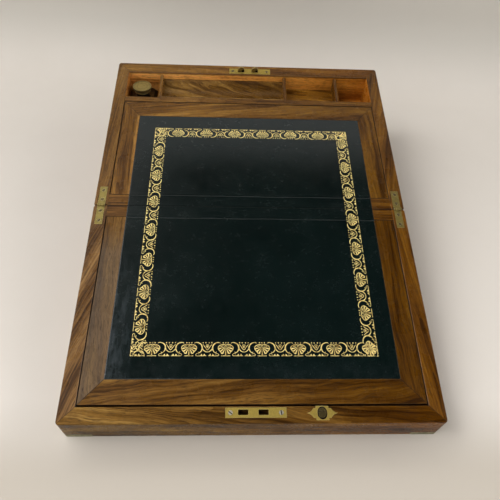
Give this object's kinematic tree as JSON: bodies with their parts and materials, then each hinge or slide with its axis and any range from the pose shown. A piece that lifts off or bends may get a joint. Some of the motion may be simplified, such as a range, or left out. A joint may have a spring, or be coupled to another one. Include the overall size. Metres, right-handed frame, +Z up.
{
  "type": "writing slope",
  "caption": "Portable wooden writing slope that folds open to a leather writing surface on hinged flaps, with a pen tray, an inkwell, a hook lock and a sprung flap catch.",
  "frame": {"origin": "on the table, under the middle of the fold", "axes": "+X to the writer's right, +Y away from the writer towards the pen tray, +Z up; the lid lies open at -Y on its outside"},
  "size_m": [0.35, 0.46, 0.1078],
  "materials": {
    "walnut": "french polished, satin, worn",
    "walnut_veneer": "french polished, satin",
    "inner_wood": "stained, waxed",
    "mahogany": "waxed",
    "leather": "worn, gilt tooled border",
    "brass": "polished, lightly tarnished",
    "aged_brass": "dull, tarnished",
    "steel": "plain",
    "glass": "clear"
  },
  "bodies": {
    "base": {"base_back_wall": "walnut", "base_left_wall": "walnut", "base_right_wall": "walnut", "base_fold_wall": "walnut", "base_bottom": "mahogany", "tray_partition": "inner_wood", "till_floor": "inner_wood", "back_lining": "inner_wood", "divider_left": "inner_wood", "divider_middle": "inner_wood", "divider_right": "inner_wood", "compartment_floor": "inner_wood", "pen_tray": "inner_wood", "base_ledge_left": "mahogany", "base_ledge_right": "mahogany", "base_ledge_back": "mahogany", "lock_case": "steel", "lock_plate": "brass", "lock_screws": "brass", "keyhole_escutcheon": "brass", "base_hinge_leaf_left": "brass", "base_hinge_leaf_right": "brass", "hinge_pins": "steel", "base_hinge_screws": "brass", "base_strip_leather": "leather"},
    "lock_bolt": {"hook_bolt": "brass"},
    "upper_flap": {"upper_flap_panel": "mahogany", "upper_flap_banding": "walnut_veneer", "upper_flap_leather": "leather"},
    "inkwell": {"inkwell_bottle": "glass", "inkwell_collar": "brass"},
    "inkwell_cap": {"inkwell_cap": "aged_brass"},
    "lid": {"lid_front_wall": "walnut", "lid_left_wall": "walnut", "lid_right_wall": "walnut", "lid_fold_wall": "walnut", "lid_top_board": "walnut", "lid_ledge_left": "mahogany", "lid_ledge_right": "mahogany", "lid_ledge_front": "mahogany", "strike_plate": "brass", "strike_screws": "steel", "catch_plate": "brass", "catch_spring": "steel", "lid_hinge_leaf_left": "brass", "lid_hinge_leaf_right": "brass", "lid_hinge_screws": "brass", "corner_caps": "aged_brass", "lid_strip_leather": "leather"},
    "lower_flap": {"lower_flap_panel": "mahogany", "lower_flap_banding": "walnut_veneer", "lower_flap_leather": "leather"},
    "catch": {"catch_slide": "brass"}
  },
  "joints": [
    {"name": "main_fold", "type": "hinge", "parent": "base", "child": "lid", "pos_m": [0, 0, 0.06815], "axis": [-1, 0, 0], "range_deg": [0, 180]},
    {"name": "upper_flap_hinge", "type": "hinge", "parent": "base", "child": "upper_flap", "pos_m": [0, 0.0148, 0.06975], "axis": [-1, 0, 0], "range_deg": [-85, 0]},
    {"name": "lower_flap_hinge", "type": "hinge", "parent": "lid", "child": "lower_flap", "pos_m": [0, -0.0148, 0.06524], "axis": [1, 0, 0], "range_deg": [-95, 0]},
    {"name": "catch_slide_travel", "type": "slide", "parent": "lid", "child": "catch", "axis": [0, 0.9886, 0.1504], "range_m": [-0.0015, 0], "stiffness_N_per_m": 300, "springref_m": 0.002, "deforming": ["catch_spring"]},
    {"name": "lock_bolt_throw", "type": "slide", "parent": "base", "child": "lock_bolt", "axis": [1, 0, 0], "range_m": [0, 0.0035]},
    {"name": "inkwell_lift", "type": "slide", "parent": "base", "child": "inkwell", "axis": [0, 0, -1], "range_m": [-0.06, 0]},
    {"name": "inkwell_cap_lift", "type": "slide", "parent": "inkwell", "child": "inkwell_cap", "axis": [0, 0, -1], "range_m": [-0.02, 0]}
  ]
}
